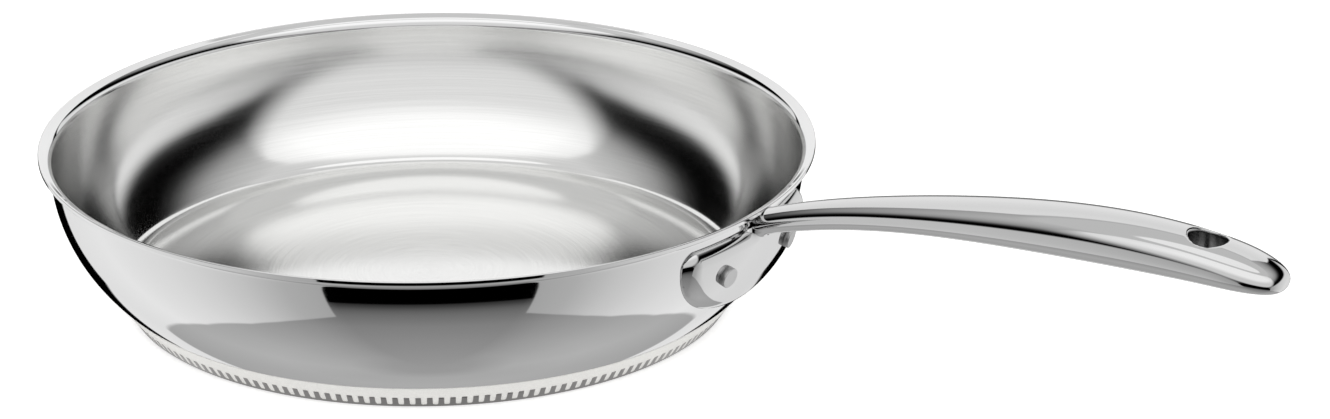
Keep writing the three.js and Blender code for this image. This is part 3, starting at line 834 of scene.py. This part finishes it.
class FRYINGPAN_OT_handle(bpy.types.Operator):
    """Build the cast handle: flange, stem, grip and hang hole in one skin"""
    bl_idname = "frying_pan.handle"
    bl_label = "Cast handle"

    def execute(self, context):
        scene = context.scene
        casting = Casting(scene.pan_handle_sizes, scene.pan_body_sizes, scene.pan_rivet_sizes)
        margin = Vector((1, 1, 1)) * CASTING_MARGIN
        p, faces = net_over(casting.solid, HANDLE_LOW - margin, HANDLE_HIGH + margin, CASTING_STEP)
        p = settle(casting.solid, p, FIRST_ROUNDS)
        for _ in range(EVENING_ROUNDS):
            p = settle(casting.solid, evened(p, faces), SETTLE_ROUNDS)
        middle = p[:, faces].mean(2)
        on_seat = casting.seat(middle) > casting.skin(middle)
        seated = np.bincount(faces[on_seat].ravel(), minlength=p.shape[1]) > 0
        shaped = np.bincount(faces[~on_seat].ravel(), minlength=p.shape[1]) > 0
        from_border = np.maximum(abs(casting.seat(p)), abs(casting.skin(p)))
        border = seated & shaped & (from_border < CASTING_STEP)
        for _ in range(BORDER_ROUNDS):
            p[:, border] = settle(casting.seat, p[:, border], 1)
            p[:, border] = settle(casting.skin, p[:, border], 1)
        finish = polished_casting(scene.pan_finishes, scene.pan_handle_sizes)
        made = piece("cast_handle", p.T, faces, [finish], "handle")
        away = [gradient(field, p) for field in (casting.skin, casting.seat)]
        away = [a / np.maximum(np.linalg.norm(a, axis=0), TINY) for a in away]
        loops = np.where(on_seat[:, None, None], away[1].T[faces], away[0].T[faces])
        made.data.normals_split_custom_set(loops.reshape(-1, 3).tolist())
        return {"FINISHED"}


def rivet_profile(rivets, body, flange_thickness):
    """Half section of a rivet along its axis: domed head inside the pan, shank, and tail on the flange."""
    head_room, tail_room, head_edge = 0.45 * MM, 0.02 * MM, 0.3 * MM
    bevel, bevel_round = 0.1 * MM, 0.15 * MM
    flat_share, steep_share, middle_share = 0.62, 0.55, 0.3
    seat = -body.sheet - head_room
    face = flange_thickness + tail_room
    dome = bezier([
        (0, seat - rivets.head_height),
        (flat_share * rivets.head_radius, seat - rivets.head_height),
        (rivets.head_radius, seat - steep_share * rivets.head_height),
        (rivets.head_radius, seat - head_edge)], DOME_STEPS)
    rest = rounded([
        (rivets.head_radius, seat - head_edge, 0),
        (rivets.head_radius - bevel, seat, bevel_round),
        (rivets.shank_radius, seat, 0),
        (rivets.shank_radius, face, 0),
        (rivets.tail_radius, face, 0),
        (rivets.tail_radius, face + rivets.tail_height, rivets.edge_round),
        (middle_share * rivets.tail_radius, face + rivets.tail_height, 0),
        (0, face + rivets.tail_height, 0),
    ])
    return np.concatenate([dome, rest[1:]])


class FRYINGPAN_OT_rivets(bpy.types.Operator):
    """Build the two rivets that hold the handle"""
    bl_idname = "frying_pan.rivets"
    bl_label = "Rivets"

    def execute(self, context):
        scene = context.scene
        body, rivets = scene.pan_body_sizes, scene.pan_rivet_sizes
        finish = pressed_rivet_steel(scene.pan_finishes)
        profile = rivet_profile(rivets, body, scene.pan_handle_sizes.flange_thickness)
        points, faces = turned(profile, RIVET_SIDES)
        names = [("front_rivet", "rivet_front"), ("rear_rivet", "rivet_rear")]
        for (name, node), (place, out) in zip(names, rivet_axes(rivets, body)):
            turn = Vector((0, 0, 1)).rotation_difference(Vector(out)).to_matrix()
            stood = points @ np.array(turn).T + place
            piece(name, stood, faces, [finish], node)
        return {"FINISHED"}


def value_along(tree, at, stops):
    """Light, share or angle at an angle, read along a list of angles and values."""
    first, last = stops[0][0], stops[-1][0]
    share = add(tree, "ShaderNodeMapRange", {"Value": at, "From Min": first, "From Max": last})
    places = [((place - first) / (last - first), value) for place, value in stops]
    return add(tree, "ShaderNodeValToRGB", {0: share}, places)


def share_past(tree, value, edge, soft):
    """Nothing below an edge and one above it, over a soft width."""
    beyond = add(tree, "ShaderNodeMath", {0: value, 1: edge}, operation="SUBTRACT")
    share = add(tree, "ShaderNodeMath", {0: beyond, 1: soft}, operation="DIVIDE")
    return add(tree, "ShaderNodeMath", {0: share, 1: 0.5}, use_clamp=True)


def studio_light(tree, middle):
    """Light of the studio by direction: a grey floor, pale walls, a dark gap over them, a black card ahead
    with a panel over it, and panels behind and overhead."""
    ray = add(tree, "ShaderNodeTexCoord").outputs["Generated"]
    faced = add(tree, "ShaderNodeVectorRotate", {"Vector": ray, "Angle": -middle}, rotation_type="Z_AXIS")
    way = add(tree, "ShaderNodeSeparateXYZ", {0: faced})
    across, up = way.outputs["X"], way.outputs["Z"]
    ahead = add(tree, "ShaderNodeMath", {0: way.outputs["Y"], 1: -1.0}, operation="MULTIPLY")
    swing = add(tree, "ShaderNodeMath", {0: across, 1: ahead}, operation="ARCTAN2")
    swing = add(tree, "ShaderNodeMath", {0: swing}, operation="ABSOLUTE")
    turn = add(tree, "ShaderNodeMath", {0: swing}, operation="DEGREES")
    climb = add(tree, "ShaderNodeMath", {0: up}, operation="ARCSINE")
    height = add(tree, "ShaderNodeMath", {0: climb}, operation="DEGREES")

    aside = value_along(tree, turn, FLOOR_ASIDE_SHARE)
    floor = add(tree, "ShaderNodeMix", {
        0: aside, 2: value_along(tree, height, FLOOR_AHEAD), 3: value_along(tree, height, FLOOR_ASIDE)})

    gap = value_along(tree, turn, GAP_HEIGHT)
    from_gap = add(tree, "ShaderNodeMath", {0: height, 1: gap}, operation="SUBTRACT")
    wall_top = value_along(tree, turn, WALLS_TOP)
    from_top = add(tree, "ShaderNodeMath", {0: height, 1: wall_top}, operation="SUBTRACT")
    fade = value_along(tree, from_top, WALLS_FADE)
    ceiling = value_along(tree, from_gap, CEILING)
    share = value_along(tree, turn, CEILING_SHARE)
    ceiling = add(tree, "ShaderNodeMath", {0: ceiling, 1: share}, operation="MULTIPLY")
    share = value_along(tree, height, WALLS_SHARE)
    fade = add(tree, "ShaderNodeMath", {0: fade, 1: share}, operation="MULTIPLY")
    walls = value_along(tree, turn, WALLS)
    walls = add(tree, "ShaderNodeMath", {0: walls, 1: fade, 2: ceiling}, operation="MULTIPLY_ADD")
    drop = value_along(tree, turn, WALLS_DROP)
    from_foot = add(tree, "ShaderNodeMath", {0: height, 1: drop})
    over_foot = share_past(tree, from_foot, 0.0, WALL_FOOT_SOFT)
    sides = add(tree, "ShaderNodeMix", {0: over_foot, 2: floor, 3: walls})

    panel = value_along(tree, height, FRONT_PANEL)
    share = value_along(tree, turn, FRONT_PANEL_SHARE)
    panel = add(tree, "ShaderNodeMath", {0: panel, 1: share}, operation="MULTIPLY")
    over_card = share_past(tree, height, CARD_FOOT, CARD_SOFT)
    front = add(tree, "ShaderNodeMix", {0: over_card, 2: floor, 3: panel})
    edge = value_along(tree, height, FRONT_PANEL_TURN)
    soft = value_along(tree, height, FRONT_PANEL_SOFT)
    in_front = share_past(tree, edge, turn, soft)
    light = add(tree, "ShaderNodeMix", {0: in_front, 2: sides, 3: front})

    panel = value_along(tree, height, BACK_PANEL)
    edge = value_along(tree, height, BACK_PANEL_TURN)
    within = share_past(tree, turn, edge, BACK_SOFT)
    back = add(tree, "ShaderNodeMath", {0: panel, 1: within}, operation="MULTIPLY")
    behind = share_past(tree, turn, value_along(tree, height, BACK_TURN), BACK_SOFT)
    raised = share_past(tree, height, BACK_FOOT, BACK_SOFT)
    behind = add(tree, "ShaderNodeMath", {0: behind, 1: raised}, operation="MULTIPLY")
    light = add(tree, "ShaderNodeMix", {0: behind, 2: light, 3: back})

    out = add(tree, "ShaderNodeMath", {0: across, 1: up}, operation="DIVIDE")
    fore = add(tree, "ShaderNodeMath", {0: ahead, 1: up}, operation="DIVIDE")
    squared = add(tree, "ShaderNodeMath", {0: out, 1: out}, operation="MULTIPLY")
    arch = add(tree, "ShaderNodeMath", {0: squared, 1: BEAM_BOW, 2: BEAM_AHEAD}, operation="MULTIPLY_ADD")
    behind = share_past(tree, arch, fore, BEAM_SOFT)
    high_up = share_past(tree, height, OVERHEAD_FOOT, OVERHEAD_SOFT)
    beam = add(tree, "ShaderNodeMath", {0: behind, 1: high_up}, operation="MULTIPLY")
    light = add(tree, "ShaderNodeMix", {0: beam, 2: light, 3: BEAM_LIGHT})
    back_way = add(tree, "ShaderNodeMath", {0: fore, 1: TOP_PANEL_BACK})
    long_way = add(tree, "ShaderNodeMath", {0: back_way, 1: TOP_PANEL_LENGTH}, operation="DIVIDE")
    from_middle = add(tree, "ShaderNodeCombineXYZ", {"X": out, "Y": long_way})
    reach = add(tree, "ShaderNodeVectorMath", {0: from_middle}, operation="LENGTH").outputs["Value"]
    within = share_past(tree, TOP_PANEL_REACH, reach, TOP_PANEL_SOFT)
    overhead = add(tree, "ShaderNodeMath", {0: within, 1: high_up}, operation="MULTIPLY")
    return add(tree, "ShaderNodeMix", {0: overhead, 2: light, 3: TOP_PANEL_LIGHT})


class FRYINGPAN_OT_studio(bpy.types.Operator):
    """Set up the pale floor, the soft studio light and the camera"""
    bl_idname = "frying_pan.studio"
    bl_label = "Studio"

    def execute(self, context):
        studio = context.scene.pan_studio
        self.floor(studio)
        self.light(context.scene, studio)
        self.camera(context.scene, studio)
        return {"FINISHED"}

    def floor(self, studio):
        """A plain pale disc of painted board, matt and even. The steel mirrors the studio instead of it."""
        finish, tree = new_finish("painted_board_pale_matt")
        shader = add(tree, "ShaderNodeBsdfPrincipled", {
            "Base Color": (*studio.floor, 1), "Roughness": 1.0, "Specular IOR Level": 0.0,
            "Emission Color": (1, 1, 1, 1), "Emission Strength": 0.6})
        add(tree, "ShaderNodeOutputMaterial", {"Surface": shader})
        turn = 2 * math.pi * np.arange(STAGE_SIDES) / STAGE_SIDES
        across, along = studio.floor_radius * np.cos(turn), studio.floor_radius * np.sin(turn)
        mesh = bpy.data.meshes.new("floor")
        rim = [(x, y, -FLOOR_DROP) for x, y in zip(across, along)]
        mesh.from_pydata(rim, [], [tuple(range(len(rim)))])
        mesh.materials.append(finish)
        floor = bpy.data.objects.new("floor", mesh)
        bpy.context.scene.collection.objects.link(floor)
        floor.visible_glossy = False

    def light(self, scene, studio):
        """Soft light from all round by direction, behind a plain pale backdrop."""
        world = bpy.data.worlds.new("soft_studio")
        world.use_nodes = True
        tree = world.node_tree
        tree.nodes.clear()
        to_camera = add(tree, "ShaderNodeLightPath").outputs["Is Camera Ray"]
        seen = studio_light(tree, studio.view_turn + studio.light_turn)
        shown = add(tree, "ShaderNodeMix", {0: to_camera, 2: seen, 3: 1.0})
        backdrop = add(tree, "ShaderNodeBackground", {"Color": shown})
        add(tree, "ShaderNodeOutputWorld", {"Surface": backdrop})
        scene.world = world
        scene.view_settings.view_transform = "Standard"

    def camera(self, scene, studio):
        """A long lens at the photograph's angle."""
        data = bpy.data.cameras.new("camera")
        data.lens = studio.lens
        data.sensor_width = 36
        data.clip_end = 100
        camera = bpy.data.objects.new("camera", data)
        camera.location = studio.camera_place
        camera.rotation_euler = (math.pi / 2 - studio.view_height, 0, studio.view_turn)
        scene.collection.objects.link(camera)
        scene.camera = camera


PROPERTIES = {
    "pan_body_sizes": PanBodySizes,
    "pan_base_sizes": BaseSizes,
    "pan_handle_sizes": HandleSizes,
    "pan_rivet_sizes": RivetSizes,
    "pan_finishes": Finishes,
    "pan_studio": StudioSettings,
}
OPERATORS = [
    FRYINGPAN_OT_studio, FRYINGPAN_OT_body, FRYINGPAN_OT_base, FRYINGPAN_OT_handle, FRYINGPAN_OT_rivets,
]


class FRYINGPAN_PT_sidebar(bpy.types.Panel):
    """Sizes, colours and build steps of the frying pan"""
    bl_label = "Frying Pan"
    bl_space_type = "VIEW_3D"
    bl_region_type = "UI"
    bl_category = "Frying Pan"

    def draw(self, context):
        for operator in OPERATORS:
            self.layout.operator(operator.bl_idname)
        for name, group in PROPERTIES.items():
            box = self.layout.box()
            for key in group.__annotations__:
                box.prop(getattr(context.scene, name), key)


def register():
    """Register the classes, and put the sizes, colours and studio on the scene."""
    for group in PROPERTIES.values():
        bpy.utils.register_class(group)
    for cls in (*OPERATORS, FRYINGPAN_PT_sidebar):
        bpy.utils.register_class(cls)
    for name, group in PROPERTIES.items():
        setattr(bpy.types.Scene, name, PointerProperty(type=group))


def unregister():
    """Take them off again."""
    for name in PROPERTIES:
        delattr(bpy.types.Scene, name)
    for cls in (FRYINGPAN_PT_sidebar, *reversed(OPERATORS), *reversed(PROPERTIES.values())):
        bpy.utils.unregister_class(cls)


def main():
    """Build the pan in its studio."""
    register()
    bpy.ops.frying_pan.studio()
    bpy.ops.frying_pan.body()
    bpy.ops.frying_pan.base()
    bpy.ops.frying_pan.handle()
    bpy.ops.frying_pan.rivets()


if __name__ == "__main__":
    main()
